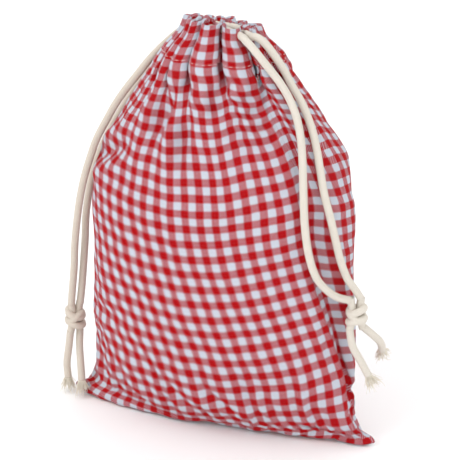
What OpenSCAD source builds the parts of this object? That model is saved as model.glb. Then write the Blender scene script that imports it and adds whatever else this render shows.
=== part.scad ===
// Fabric gift sack: two gingham panels, a split casing round the mouth, and two
// cords that run through it in opposite directions and end in knotted tails.
// +X runs along the width, -Y is the front, +Z is up, and z = 0 is the surface it stands on.

/* [Sack] */
// Half of the width round the middle
body_half_w = 82; // [76:1:86]
// Half of the depth round the middle
body_half_d = 43; // [36:1:46]
// Half of the distance between the two bottom corners
corner_half_w = 96; // [92:1:100]
// Height over which a bottom corner flares out
corner_h = 34; // [24:1:44]
// Half of the depth of the base
base_half_d = 18; // [14:1:22]
// Height at which the sack has its full depth
belly_z = 95; // [70:1:120]
// Height at which the shoulders start
shoulder_z = 150; // [140:1:160]
// Thickness of the cloth
cloth_t = 1.2; // [0.8:0.1:1.6]
// Width of the joint where the two panels meet at a side seam
joint_w = 4; // [3:0.5:5]

/* [Mouth] */
// Height of the underside of the casing
casing_z = 228; // [224:1:230]
// Height of the casing
casing_h = 26; // [25:1:30]
// Half width of the neck at the underside of the casing
neck_half_w = 36; // [34:1:38]
// Half depth of the neck at the underside of the casing
neck_half_d = 24; // [23:1:26]
// Half width of the rim
rim_half_w = 27; // [26:1:30]
// Half depth of the rim
rim_half_d = 17; // [16:1:19]
// Clear width of the tunnel that the cords run in
tunnel_w = 6; // [5.5:0.1:6.5]
// How far the side seams are turned round towards the front on the right, in degrees
seam_turn = 38; // [20:1:40]
// Half of the angle that each side slit takes up, in degrees
slit_angle = 15; // [14:1:18]

/* [Cord] */
// Thickness of the cord
cord_d = 4.5; // [4:0.1:4.6]
// Thickness of a frayed tail end
fray_d = 7; // [5:0.5:8]
// Diameter across a knot
knot_d = 14; // [12:0.5:14]

/* [Stitching] */
// Thickness of the thread
thread_d = 0.7; // [0.5:0.1:0.8]
// Length of one stitch
stitch_l = 2.8; // [2:0.1:3]
// Width of the turned-in allowance along the seams
allowance_w = 8; // [6:1:10]

/* [Hidden] */

gingham = [0.80, 0.30, 0.34];
gingham_back = [0.74, 0.26, 0.30];
cord_cream = [0.92, 0.88, 0.80];
thread_white = [0.95, 0.94, 0.92];

// Gaps between pieces that meet, and between pieces that move apart
gap = 0.4;
panel_top = casing_z - gap;
// Half of the length of the seam line under the base, and how far it stays short of the corners
corner_inset = 3;
seam_half_w = corner_half_w - corner_inset;
// Sections are pointed at the corners at the base, and turn oval up to this height
oval_z = 60;
base_point_power = 1.5;
// Share of the shoulders' profile that is straight
shoulder_straight = 0.45;
// How much closer together the rows of a panel are low down
row_power = 1.3;
panel_columns = 30;
panel_rows = 20;
ring_columns = 24;
cord_sides = 8;
thread_overlap = 0.15;
casing_t = tunnel_w + 2 * cloth_t;
// Shares of the casing's height at which the two cords run
upper_run_share = 0.75;
lower_run_share = 0.48;
upper_run_z = casing_z + casing_h * upper_run_share;
lower_run_z = casing_z + casing_h * lower_run_share;
stitch_z = casing_z + 2;
stitch_count = 17;
// Angle that the stitching stays short of the ends of the casing
stitch_margin = 4;
// Angles that a cord run and a cord crossing stay short of the ends of the casing
run_margin = 1;
crossing_margin = 3.5;
knot_wrap_r = (knot_d - cord_d) / 2;
knot_wrap_rise = 3.6;
knot_wrap_tilt = 12;
knot_wrap_taper = 0.6;
knot_half_h = 7.5;
// A direction that no cord runs along, to set out the sides of its tube from
tube_reference = [0.31, 0.95, 0.05];
tack_size = [8, 2, 3];

// Routes of the four free strands, from the side slit down to just above the knot
right_front_route = [
  [18, -11, 247], [21, -15, 247], [26, -18.5, 245], [32, -19.5, 239.5], [37.5, -17.5, 232],
  [43, -15.5, 224], [48.5, -15, 215], [53.5, -17, 205.5], [57.5, -20.5, 194.5], [60.5, -25, 182],
  [63, -29.5, 166.5], [65, -32, 148.5], [67.5, -32, 131.5], [70.5, -29, 117.5], [74.5, -24, 108],
  [80, -18, 101], [86, -12, 97.5]
];
right_back_route = [
  [22, -8, 247], [27, -11, 248], [32.5, -11.5, 244.5], [37.5, -10, 237.5], [42, -8, 229.5],
  [46, -7, 221.5], [51, -7, 214], [56, -8.5, 206], [61, -11.5, 197], [65, -14.5, 187],
  [68.5, -17.5, 175.5], [72, -20, 163.5], [76, -20.5, 150.5], [79, -19.5, 137], [81.5, -17.5, 124],
  [84.5, -14, 112], [88, -10, 104], [91, -7, 97]
];
left_front_route = [
  [-24, 9, 240], [-27, 13, 240], [-32, 14.5, 238], [-37.5, 11.5, 233], [-43, 7, 227], [-48.5, 3, 220],
  [-54, 0, 212], [-60, -2.5, 203.5], [-66, -4.5, 194], [-71.5, -6, 183.5], [-77, -8, 172],
  [-81, -9.5, 160], [-84.5, -11.5, 146.5], [-87.5, -12, 132], [-90.5, -10.5, 117], [-93.5, -8, 101],
  [-95.5, -6, 84], [-97.5, -5, 70], [-98.5, -5, 59.5]
];
left_back_route = [
  [-20, 12, 240], [-23, 16, 240], [-28, 19.5, 238], [-34, 20, 233], [-40, 18.5, 227], [-46, 17, 220],
  [-52, 16, 212.5], [-58, 15.5, 204.5], [-64.5, 15, 195], [-71, 14, 184.5], [-77, 12, 173],
  [-82, 9, 161], [-85.5, 5, 148], [-87.5, 1, 134], [-89, -1, 119], [-90, -1, 103], [-91.5, -1, 86],
  [-93, -1, 71], [-94.5, -1, 59.5]
];

// Routes of the four tails below the knots
right_front_tail_route = [[86, -12, 79.5], [88, -12, 69], [92, -9, 59], [96, -6, 49]];
right_back_tail_route = [[92, -6, 79.5], [97, -3, 74], [99.5, 3.5, 67], [98, 12, 58]];
left_front_tail_route = [[-99, -6, 42], [-100, -7, 31], [-102, -6, 20], [-102, -5, 10]];
left_back_tail_route = [[-95, -1, 42], [-94, -4, 32], [-92, -7, 22], [-91, -8, 11]];

// Centres of the knots
right_knot_at = [89, -9, 87.5];
left_knot_at = [-97, -3, 50.5];

function clamp01(t) = min(1, max(0, t));
function smooth(t) = let (c = clamp01(t)) c * c * (3 - 2 * c);
function mix(a, b, t) = a + (b - a) * t;

// Shoulder profile from 1 at the full width to 0 at the neck, slightly rounded
function shoulder(z) =
  let (t = clamp01((z - shoulder_z) / (casing_z - shoulder_z)))
  shoulder_straight * (1 - t) + (1 - shoulder_straight) * cos(90 * t);

function sack_half_w(z) =
  let (flare = (corner_half_w - body_half_w) * pow(clamp01(1 - z / corner_h), 2))
  z < shoulder_z ? body_half_w + flare : mix(neck_half_w, body_half_w, shoulder(z));

function sack_half_d(z) =
  let (belly = sin(90 * clamp01(z / belly_z)))
  z < shoulder_z ? mix(base_half_d, body_half_d, belly) : mix(neck_half_d, body_half_d, shoulder(z));

// Turn of the side seams round the sack at a height, in degrees
function turn(z) = seam_turn * smooth(z / shoulder_z);

// Sections are pointed at the corners of the base and oval higher up
function point_power(z) = mix(base_point_power, 1, clamp01(z / oval_z));

function oval(half_w, half_d, angle, power = 1) = [
  half_w * cos(angle),
  -half_d * sign(sin(angle)) * pow(abs(sin(angle)), power)
];

// A point on the sack's surface, drawn in from the sides and from the front and back
function sack_point(angle, z, side_inset, face_inset) =
  let (p = oval(sack_half_w(z) - side_inset, sack_half_d(z) - face_inset, angle, point_power(z)))
  [p.x, p.y, max(z, face_inset)];

// A point on the line of the bottom seam
function seam_point(angle, side_inset, face_inset) =
  [(seam_half_w - side_inset) * cos(angle), 0, face_inset];

// A point on the casing's surface, drawn in by inset
function casing_point(angle, z, inset) =
  let (t = (z - casing_z) / casing_h)
  let (p = oval(mix(neck_half_w, rim_half_w, t) - inset, mix(neck_half_d, rim_half_d, t) - inset, angle))
  [p.x, p.y, z];

function row_z(j) = panel_top * pow(j / panel_rows, row_power);

// One column of a panel, from the bottom seam up to the neck
function panel_column(angle, side_inset, face_inset) = concat(
  [seam_point(angle, side_inset, face_inset)],
  [for (j = [0:panel_rows]) sack_point(angle + turn(row_z(j)), row_z(j), side_inset, face_inset)]
);

function panel_grid(first_angle, side_inset, face_inset) = [
  for (i = [0:panel_columns])
    panel_column(first_angle + 180 * i / panel_columns, side_inset, face_inset)
];

// Two triangles over the corners a, b, c, d, split from a to c, or from b to d if turned
function quad(a, b, c, d, turned = false) = turned ? [[b, c, d], [b, d, a]] : [[a, b, c], [a, c, d]];
function flat(list) = [for (part = list) each part];

// A thin shell between two grids of points, closed along all four edges.
// The split of the quads changes over halfway, so that no triangle at a corner is flat.
module shell(outer, inner) {
  columns = len(outer) - 1;
  rows = len(outer[0]) - 1;
  stride = rows + 1;
  other = (columns + 1) * stride;
  faces = flat(concat(
    [for (i = [0:columns - 1], j = [0:rows - 1]) let (a = i * stride + j, b = a + stride)
      quad(a, b, b + 1, a + 1, i >= columns / 2)],
    [for (i = [0:columns - 1], j = [0:rows - 1]) let (a = other + i * stride + j, b = a + stride)
      quad(b, a, a + 1, b + 1, i < columns / 2)],
    [for (i = [0:columns - 1]) let (a = i * stride, b = a + stride)
      quad(a, a + other, b + other, b)],
    [for (i = [0:columns - 1]) let (a = i * stride + rows, b = a + stride)
      quad(a, b, b + other, a + other)],
    [for (j = [0:rows - 1]) quad(j, j + 1, j + 1 + other, j + other)],
    [for (j = [0:rows - 1]) let (a = columns * stride + j)
      quad(a, a + other, a + 1 + other, a + 1)]
  ));
  polyhedron(points = concat(flat(outer), flat(inner)), faces = faces);
}

// A closed tube between loops of points, with a tunnel through it from end to end
module hollow_sweep(outer, inner) {
  steps = len(outer) - 1;
  sides = len(outer[0]);
  other = (steps + 1) * sides;
  faces = flat(concat(
    [for (i = [0:steps - 1], k = [0:sides - 1])
      let (a = i * sides + k, b = i * sides + (k + 1) % sides)
      quad(a, a + sides, b + sides, b)],
    [for (i = [0:steps - 1], k = [0:sides - 1])
      let (a = other + i * sides + k, b = other + i * sides + (k + 1) % sides)
      quad(a, b, b + sides, a + sides)],
    [for (k = [0:sides - 1]) let (n = (k + 1) % sides)
      quad(k, n, n + other, k + other)],
    [for (k = [0:sides - 1]) let (a = steps * sides + k, n = steps * sides + (k + 1) % sides)
      quad(a, a + other, n + other, n)]
  ));
  polyhedron(points = concat(flat(outer), flat(inner)), faces = faces);
}

// A solid through a list of rings with the same number of points
module sweep(rings) {
  steps = len(rings) - 1;
  sides = len(rings[0]);
  walls = flat([for (i = [0:steps - 1], k = [0:sides - 1])
    let (a = i * sides + k, b = i * sides + (k + 1) % sides)
    quad(a, b, b + sides, a + sides)]);
  start_cap = [[for (k = [sides - 1:-1:0]) k]];
  end_cap = [[for (k = [0:sides - 1]) steps * sides + k]];
  polyhedron(points = flat(rings), faces = concat(walls, start_cap, end_cap));
}

function unit(v) = v / norm(v);

// Direction of a route at one of its points
function heading(route, i) =
  unit(route[min(i + 1, len(route) - 1)] - route[max(i - 1, 0)]);

// A ring of points square to a direction
function ring(centre, along, radius) =
  let (side = unit(cross(along, tube_reference)))
  let (up = cross(side, along))
  [for (k = [0:cord_sides - 1]) let (a = 360 * k / cord_sides)
    centre + radius * (cos(a) * side - sin(a) * up)];

// A tube along a route, with the diameter changing evenly from one end to the other
module tube(route, start_d, end_d) {
  last = len(route) - 1;
  sweep([for (i = [0:last]) ring(route[i], heading(route, i), mix(start_d, end_d, i / last) / 2)]);
}

module panel(first_angle) {
  shell(panel_grid(first_angle, 0, 0), panel_grid(first_angle, joint_w, cloth_t));
}

module front_panel() {
  color(gingham)
    panel(0);
}

module back_panel() {
  color(gingham_back)
    panel(180);
}

// Turned-in cloth along a side seam, inside the sack
module side_allowance(side_angle) {
  half_t = cloth_t / 2;
  near = joint_w + gap;
  sweep([for (j = [2:panel_rows - 1])
    let (z = row_z(j), a = side_angle + turn(z), wall = sack_point(a, z, near, near))
    let (in = unit([-wall.x, -wall.y, 0]), across = [-in.y, in.x, 0])
    [wall - half_t * across, wall + half_t * across,
     wall + allowance_w * in + half_t * across, wall + allowance_w * in - half_t * across]]);
}

module left_seam_allowance() {
  color(gingham_back)
    side_allowance(180);
}

module right_seam_allowance() {
  color(gingham_back)
    side_allowance(0);
}

// Turned-in cloth along the bottom seam, standing on the inside of the base
module bottom_seam_allowance() {
  length = 2 * (body_half_w - allowance_w);
  color(gingham_back)
    translate([-length / 2, -cloth_t / 2, cloth_t + gap])
      cube([length, cloth_t, allowance_w]);
}

// Bar of thread that closes a side seam just under its slit
module seam_tack(side_angle) {
  z = panel_top - tack_size.z;
  a = side_angle + turn(z);
  wall = sack_point(a, z, 0, 0);
  translate([wall.x, wall.y, z])
    rotate([0, 0, atan2(wall.y, wall.x) + 90])
      translate([-tack_size.x / 2, -tack_size.y / 2, -tack_size.z / 2])
        cube(tack_size);
}

module left_seam_tack() {
  color(thread_white)
    seam_tack(180);
}

module right_seam_tack() {
  color(thread_white)
    seam_tack(0);
}

// Half of the casing, a tunnel of folded cloth between the two side slits
module casing(first_angle) {
  start = first_angle + seam_turn + slit_angle;
  span = 180 - 2 * slit_angle;
  low = casing_z;
  high = casing_z + casing_h;
  inside = casing_t - cloth_t;
  angles = [for (i = [0:ring_columns]) start + span * i / ring_columns];
  hollow_sweep(
    [for (a = angles) [
      casing_point(a, low, 0), casing_point(a, high, 0),
      casing_point(a, high, casing_t), casing_point(a, low, casing_t)]],
    [for (a = angles) [
      casing_point(a, low + cloth_t, cloth_t), casing_point(a, high - cloth_t, cloth_t),
      casing_point(a, high - cloth_t, inside), casing_point(a, low + cloth_t, inside)]]
  );
}

module front_casing() {
  color(gingham)
    casing(0);
}

module back_casing() {
  color(gingham_back)
    casing(180);
}

// Row of stitches round half of the casing, near its lower edge
module casing_stitching(first_angle) {
  margin = slit_angle + stitch_margin;
  span = 180 - 2 * margin;
  for (i = [0:stitch_count - 1]) {
    a = first_angle + seam_turn + margin + span * i / (stitch_count - 1);
    here = casing_point(a, stitch_z, thread_overlap - thread_d / 2);
    there = casing_point(a + 1, stitch_z, thread_overlap - thread_d / 2);
    translate(here)
      rotate([0, 0, atan2(there.y - here.y, there.x - here.x)])
        rotate([0, 90, 0])
          cylinder(d = thread_d, h = stitch_l, center = true, $fn = 16);
  }
}

module front_casing_stitching() {
  color(thread_white)
    casing_stitching(0);
}

module back_casing_stitching() {
  color(thread_white)
    casing_stitching(180);
}

// A cord's way through half of the casing
module cord_run(first_angle, z) {
  start = first_angle + seam_turn + slit_angle + run_margin;
  span = 180 - 2 * (slit_angle + run_margin);
  steps = ring_columns / 2;
  tube([for (i = [0:steps]) casing_point(start + span * i / steps, z, casing_t / 2)], cord_d, cord_d);
}

module front_upper_cord_run() {
  color(cord_cream)
    cord_run(0, upper_run_z);
}

module front_lower_cord_run() {
  color(cord_cream)
    cord_run(0, lower_run_z);
}

module back_upper_cord_run() {
  color(cord_cream)
    cord_run(180, upper_run_z);
}

module back_lower_cord_run() {
  color(cord_cream)
    cord_run(180, lower_run_z);
}

// The short piece of a cord that crosses a side slit from the front casing to the back one
module cord_crossing(side_angle, z) {
  reach = slit_angle - crossing_margin;
  tube([for (a = [-reach:reach:reach]) casing_point(side_angle + seam_turn + a, z, casing_t / 2)],
    cord_d, cord_d);
}

module left_cord_crossing() {
  color(cord_cream)
    cord_crossing(180, upper_run_z);
}

module right_cord_crossing() {
  color(cord_cream)
    cord_crossing(0, lower_run_z);
}

module left_front_strand() {
  color(cord_cream)
    tube(left_front_route, cord_d, cord_d);
}

module left_back_strand() {
  color(cord_cream)
    tube(left_back_route, cord_d, cord_d);
}

module right_front_strand() {
  color(cord_cream)
    tube(right_front_route, cord_d, cord_d);
}

module right_back_strand() {
  color(cord_cream)
    tube(right_back_route, cord_d, cord_d);
}

// A turn of cord round a knot
module knot_wrap(radius) {
  rotate_extrude($fn = 48)
    translate([radius, 0])
      circle(d = cord_d, $fn = 32);
}

// An overhand knot: a core with three turns of cord wrapped round it, two of them slanted
module knot(centre) {
  translate(centre) {
    cylinder(r = knot_wrap_r, h = 2 * knot_half_h, center = true, $fn = 48);
    knot_wrap(knot_wrap_r);
    for (side = [-1, 1])
      translate([0, 0, side * knot_wrap_rise])
        rotate([0, side * knot_wrap_tilt, 0])
          knot_wrap(knot_wrap_r - knot_wrap_taper);
  }
}

module left_knot() {
  color(cord_cream)
    knot(left_knot_at);
}

module right_knot() {
  color(cord_cream)
    knot(right_knot_at);
}

module left_front_tail() {
  color(cord_cream)
    tube(left_front_tail_route, cord_d, fray_d);
}

module left_back_tail() {
  color(cord_cream)
    tube(left_back_tail_route, cord_d, fray_d);
}

module right_front_tail() {
  color(cord_cream)
    tube(right_front_tail_route, cord_d, fray_d);
}

module right_back_tail() {
  color(cord_cream)
    tube(right_back_tail_route, cord_d, fray_d);
}

front_panel();
back_panel();
left_seam_allowance();
right_seam_allowance();
bottom_seam_allowance();
left_seam_tack();
right_seam_tack();
front_casing();
front_casing_stitching();
front_upper_cord_run();
front_lower_cord_run();
back_casing();
back_casing_stitching();
back_upper_cord_run();
back_lower_cord_run();
left_cord_crossing();
right_cord_crossing();
left_front_strand();
left_back_strand();
left_knot();
left_front_tail();
left_back_tail();
right_front_strand();
right_back_strand();
right_knot();
right_front_tail();
right_back_tail();
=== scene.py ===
import math

import bpy
import numpy as np
from mathutils import Matrix, Vector


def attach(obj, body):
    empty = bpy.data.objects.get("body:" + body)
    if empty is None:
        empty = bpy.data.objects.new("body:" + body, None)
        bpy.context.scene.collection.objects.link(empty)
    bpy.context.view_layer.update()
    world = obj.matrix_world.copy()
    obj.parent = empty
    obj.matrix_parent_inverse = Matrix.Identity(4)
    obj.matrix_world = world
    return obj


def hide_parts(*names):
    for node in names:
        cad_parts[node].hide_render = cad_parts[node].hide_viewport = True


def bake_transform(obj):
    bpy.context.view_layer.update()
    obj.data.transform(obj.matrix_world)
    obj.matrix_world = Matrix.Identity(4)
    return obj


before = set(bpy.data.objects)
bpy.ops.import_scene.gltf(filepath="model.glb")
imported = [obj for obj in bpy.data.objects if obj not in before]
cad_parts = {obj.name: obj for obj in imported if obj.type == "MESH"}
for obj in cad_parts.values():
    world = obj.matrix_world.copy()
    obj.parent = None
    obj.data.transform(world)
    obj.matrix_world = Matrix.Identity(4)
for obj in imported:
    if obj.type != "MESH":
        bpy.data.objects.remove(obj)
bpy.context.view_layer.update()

MM = 0.001

# ---------------- sizes, in mm, as in the CAD part
BODY_W, BODY_D = 82.0, 43.0
CORNER_W, CORNER_H = 96.0, 34.0
BASE_D = 18.0
BELLY_Z, SHOULDER_Z = 95.0, 150.0
CASING_Z, CASING_H = 228.0, 26.0
NECK_W, NECK_D = 36.0, 24.0
RIM_W, RIM_D = 27.0, 17.0
SEAM_TURN, SLIT_ANGLE = 38.0, 15.0
SEAM_W = 93.0
OVAL_Z, BASE_POWER = 60.0, 1.5
SHOULDER_STRAIGHT = 0.45
CORD_D = 4.5
UPPER_RUN_Z, LOWER_RUN_Z = 247.5, 240.5
SLIT_FOOT_Z = 224.0

RIGHT_FRONT = [
    (18, -11, 247), (21, -15, 247), (26, -18.5, 245), (32, -19.5, 239.5), (37.5, -17.5, 232),
    (43, -15.5, 224), (48.5, -15, 215), (53.5, -17, 205.5), (57.5, -20.5, 194.5), (60.5, -25, 182),
    (63, -29.5, 166.5), (65, -32, 148.5), (67.5, -32, 131.5), (70.5, -29, 117.5), (74.5, -24, 108),
    (80, -18, 101), (86, -12, 97.5)]
RIGHT_BACK = [
    (22, -8, 247), (27, -11, 248), (32.5, -11.5, 244.5), (37.5, -10, 237.5), (42, -8, 229.5),
    (46, -7, 221.5), (51, -7, 214), (56, -8.5, 206), (61, -11.5, 197), (65, -14.5, 187),
    (68.5, -17.5, 175.5), (72, -20, 163.5), (76, -20.5, 150.5), (79, -19.5, 137), (81.5, -17.5, 124),
    (84.5, -14, 112), (88, -10, 104), (91, -7, 97)]
LEFT_FRONT = [
    (-24, 9, 240), (-27, 13, 240), (-32, 14.5, 238), (-37.5, 11.5, 233), (-43, 7, 227),
    (-48.5, 3, 220), (-54, 0, 212), (-60, -2.5, 203.5), (-66, -4.5, 194), (-71.5, -6, 183.5),
    (-77, -8, 172), (-81, -9.5, 160), (-84.5, -11.5, 146.5), (-87.5, -12, 132), (-90.5, -10.5, 117),
    (-93.5, -8, 101), (-95.5, -6, 84), (-97.5, -5, 70), (-98.5, -5, 59.5)]
LEFT_BACK = [
    (-20, 12, 240), (-23, 16, 240), (-28, 19.5, 238), (-34, 20, 233), (-40, 18.5, 227), (-46, 17, 220),
    (-52, 16, 212.5), (-58, 15.5, 204.5), (-64.5, 15, 195), (-71, 14, 184.5), (-77, 12, 173),
    (-82, 9, 161), (-85.5, 5, 148), (-87.5, 1, 134), (-89, -1, 119), (-90, -1, 103), (-91.5, -1, 86),
    (-93, -1, 71), (-94.5, -1, 59.5)]
RIGHT_FRONT_TAIL = [(86, -12, 79.5), (88, -12, 69), (92, -9, 59), (96, -6, 49)]
RIGHT_BACK_TAIL = [(92, -6, 79.5), (97, -3, 74), (99.5, 3.5, 67), (98, 12, 58)]
LEFT_FRONT_TAIL = [(-99, -6, 42), (-100, -7, 31), (-102, -6, 20), (-102, -5, 10)]
LEFT_BACK_TAIL = [(-95, -1, 42), (-94, -4, 32), (-92, -7, 22), (-91, -8, 11)]
RIGHT_KNOT_AT = (89, -9, 87.5)
LEFT_KNOT_AT = (-97, -3, 50.5)

# ---------------- the cut of the cloth, in mm
PANEL_W, PANEL_H = 200.0, 284.0
HEM = 24.0
CHECK = 9.5
CLOTH_T = 0.8
# How many pieces the cloth's grid has across and up
COLUMNS, ROWS = 92, 120
# Cloth turned under the base in the middle, and how far the right-hand seam draws the rows up beside it
UNDER = 12.6
SEAM_PULL, SEAM_PULL_REACH = 9.0, 110.0
# The loose flap that each bottom corner makes: how far it stands out, and where
EAR, EAR_Z, EAR_H = 6.0, 4.0, 4.0
# The height of the rim's ends over the CAD part's rim
RIM_DROP = -5.0
# The lowest that cloth and fibres lie above the floor
CLOTH_Z, FIBRE_Z = 0.8, 0.4

# ---------------- pleats
PLEATS = 7
PLEAT_SEED = 5
PLEAT_WIDTHS, PLEAT_DEPTHS = (0.6, 1.45), (0.8, 1.2)
# The share of a pleat that is its broad face, and the slopes of the face and of the fold
FACE = 0.62
FACE_SLOPE, FOLD_SLOPE = 0.55, -1.35
# Where the folds go in deepest, as height, depth and half height
PIT_Z, PIT_DEPTH, PIT_H = 230.0, 4.5, 10.0

# Creases that the cloth keeps: points on the sack, depth, and half width, in mm
CREASES = (
    (((-81, -9, 163), (-64, -20, 170), (-47, -28, 181)), 5.0, 5.0),
    (((-10, -31, 204), (-10, -36, 188), (-10, -40, 170)), 4.0, 3.8),
    (((-14, -24, 222), (-19, -28, 211), (-25, -31, 200), (-32, -34, 188)), 6.0, 5.5),
    (((8, -25, 224), (8, -28, 214), (6, -32, 204)), 5.0, 4.5),
    (((30, -19, 221), (24, -25, 214), (12, -30, 210), (-4, -32, 207)), 4.0, 2.8),
    (((36, -18, 216), (30, -25, 208), (16, -31, 204), (-2, -34, 201)), 3.8, 2.8),
    (((42, -17, 210), (36, -25, 201), (22, -32, 197), (2, -36, 194)), 3.2, 2.8),
    (((48, -18, 203), (42, -26, 194), (28, -33, 190), (10, -37, 187)), 2.6, 2.8),
    (((80, -6, 32), (86, 0, 20), (93, 1, 9)), 3.0, 3.5),
    (((72, -12, 16), (81, -5, 20), (88, -3, 11)), 2.5, 3.5),
    (((-83, -9, 66), (-62, -28, 69), (-44, -36, 73)), 1.5, 4.5),
    (((-92, 0, 22), (-86, -5, 14), (-76, -10, 12)), 2.5, 3.5),
)


# ---------------- small maths
def smooth(t):
    t = np.clip(t, 0, 1)
    return t * t * (3 - 2 * t)


def rise(value, start, length):
    """0 up to the start, 1 from a length further on, and a smooth way between."""
    return smooth((value - start) / length)


def mix(a, b, t):
    return a + (b - a) * t


def unit(v):
    return v / np.maximum(np.linalg.norm(v, axis=-1, keepdims=True), 1e-12)


def path_length(points):
    """How far along its line each point is."""
    return np.concatenate([[0], np.cumsum(np.linalg.norm(np.diff(points, axis=0), axis=1))])


def on_line(at, along, line):
    """The points of a line that are at some distances along it."""
    return np.stack([np.interp(at, along, line[:, i]) for i in range(line.shape[1])], -1)


def shoulder(z):
    t = np.clip((z - SHOULDER_Z) / (CASING_Z - SHOULDER_Z), 0, 1)
    return SHOULDER_STRAIGHT * (1 - t) + (1 - SHOULDER_STRAIGHT) * np.cos(np.pi / 2 * t)


def half_w(z):
    if z > CASING_Z:
        return mix(NECK_W, RIM_W, (z - CASING_Z) / CASING_H)
    if z > SHOULDER_Z:
        return mix(NECK_W, BODY_W, shoulder(z))
    ear = EAR * math.exp(-((z - EAR_Z) / EAR_H) ** 2)
    return BODY_W + (CORNER_W - BODY_W) * max(0.0, 1 - z / CORNER_H) ** 2 + ear


def half_d(z):
    if z > CASING_Z:
        return mix(NECK_D, RIM_D, (z - CASING_Z) / CASING_H)
    if z > SHOULDER_Z:
        return mix(NECK_D, BODY_D, shoulder(z))
    return mix(BASE_D, BODY_D, math.sin(math.pi / 2 * min(1.0, z / BELLY_Z)))


def turn(z):
    return SEAM_TURN * float(smooth(z / SHOULDER_Z))


def oval(w, d, degrees, power=1.0):
    a = np.radians(degrees)
    return w * np.cos(a), -d * np.sign(np.sin(a)) * np.abs(np.sin(a)) ** power


# ---------------- the sack's section at a height
def valley(z, degrees):
    """How far the cloth goes in beside the right-hand seam, less how far it stands out behind it, in mm."""
    aside, wide, deepest = -7.0, 7.0, 6.5
    full_at, full_wide, fullest = -26.0, 24.0, 6.0
    away = (degrees - turn(z) - aside + 180) % 360 - 180
    deep = deepest * float(rise(z, 8, 40)) * float(1 - rise(z, 185, 40))
    behind = (degrees - full_at + 180) % 360 - 180
    full = fullest * float(rise(z, 150, 30)) * float(1 - rise(z, 206, 22))
    return deep * np.exp(-(away / wide) ** 2) - full * np.exp(-(behind / full_wide) ** 2)


def section(z, first, last):
    """Points round the sack at height z between two angles, the way out from them, and the way along them."""
    degrees = np.linspace(first, last, 721)
    power = mix(BASE_POWER, 1.0, min(1.0, z / OVAL_Z))
    drop = valley(z, degrees)
    x, y = oval(half_w(z) - drop, half_d(z) - drop, degrees, power)
    points = np.stack([x, y], 1)
    along = path_length(points)
    ahead = unit(np.gradient(points, axis=0))
    out = np.stack([-ahead[:, 1], ahead[:, 0]], 1)
    out *= np.sign(np.sum(out * points, axis=1).mean())
    return points, out, along


# ---------------- the start shape of the cloth
def pleat_phase(seed):
    """How far each point across a panel is through its pleat (0 to 1), and how deep that pleat is."""
    rng = np.random.default_rng(seed)
    widths = rng.uniform(*PLEAT_WIDTHS, PLEATS)
    edges = np.concatenate([[0], np.cumsum(widths)]) * PANEL_W / widths.sum()
    s = np.linspace(0, PANEL_W, 2001)
    phase = np.interp(s, edges, np.arange(PLEATS + 1)) % 1
    depth = np.interp(s, (edges[1:] + edges[:-1]) / 2, rng.uniform(*PLEAT_DEPTHS, PLEATS))
    return s, phase, depth


def slope_of_pleats(phase):
    """The slope across a pleat: a broad arched face, then a narrow fold that goes in and out again."""
    face = FACE_SLOPE * np.cos(np.pi * phase / FACE)
    fold = FOLD_SLOPE * np.cos(np.pi * (phase - FACE) / (1 - FACE))
    reach = 12
    window = 2 * reach + 1
    slope = np.where(phase < FACE, face, fold)
    return np.convolve(np.pad(slope, reach, mode="edge"), np.ones(window) / window, mode="valid")


def fold_share(at, seed):
    """How far points across a panel are into a fold between two faces, 0 to 1."""
    s, phase, depth = pleat_phase(seed)
    into = np.where(phase < FACE, 0, np.sin(np.pi * (phase - FACE) / (1 - FACE))) * depth**2
    return np.interp(at, s, into)


def pleated(length, seed):
    """Distance along the section and distance out of it, for cloth gathered to a length."""
    s, phase, depth = pleat_phase(seed)
    step = s[1] - s[0]
    if length >= PANEL_W:
        return s, s * length / PANEL_W, np.zeros_like(s)
    slope = slope_of_pleats(phase) * depth
    low, high = 0.0, 2.0
    halvings = 30
    for _ in range(halvings):
        swing = (low + high) / 2
        if (np.cos(swing * slope).sum() - 0.5) * step > length:
            low = swing
        else:
            high = swing
    angle = swing * slope
    along = np.concatenate([[0], np.cumsum(np.cos(angle[1:]) * step)])
    out = np.concatenate([[0], np.cumsum(np.sin(angle[1:]) * step)])
    out -= np.linspace(0, out[-1], len(out))
    return s, along * length / along[-1], out


def row_heights(side, z):
    """Height of each row in each column of a panel, and how far it is turned under the base (0 to 1)."""
    wide = np.array([half_w(h) for h in z])
    deep = np.array([half_d(h) for h in z])
    across = np.linspace(0, 1, COLUMNS + 1)
    angle = np.radians(180 * (side + across[None]) + np.array([turn(h) for h in z[1:]])[:, None])
    climb = np.sqrt(np.diff(z)[:, None] ** 2 + (np.diff(wide)[:, None] * np.cos(angle)) ** 2
                    + (np.diff(deep)[:, None] * np.sin(angle)) ** 2)
    up = np.concatenate([np.zeros((1, COLUMNS + 1)), np.cumsum(climb, axis=0)])
    heights, unders = [], []
    for k, share in enumerate(across):
        under = max(0.5, UNDER * math.sin(math.pi * share))
        v = np.linspace(0, up[-1, k] + under, ROWS + 1)
        height = np.interp(v - under, up[:, k], z)
        from_right = PANEL_W * (1 - share if side else share)
        pulled = SEAM_PULL * (1 - rise(from_right, 0, SEAM_PULL_REACH))
        heights.append(height + pulled * rise(height, 0, 70) * (1 - rise(height, 180, 48)))
        unders.append(np.clip(v / under, 0, 1))
    return np.array(heights).T, np.array(unders).T


def rim_lift(side, at):
    """How much higher than in the CAD part the rim stands across a panel, in mm."""
    arch = np.sin(np.pi * at / PANEL_W)
    highest = 2.6 - 3.0 * side
    uneven = np.sin(at * 0.21 + side) + 0.6 * np.sin(at * 0.093 + 2)
    return RIM_DROP + highest * arch + 0.7 * uneven * arch


def slit_angle(z):
    """Angle between the middle of the seam and the edge of a panel: the slit opens above the seam's end."""
    return 2.5 * float(rise(z, 222, 8)) + 6.5 * float(rise(z, 240, 8))


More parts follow.
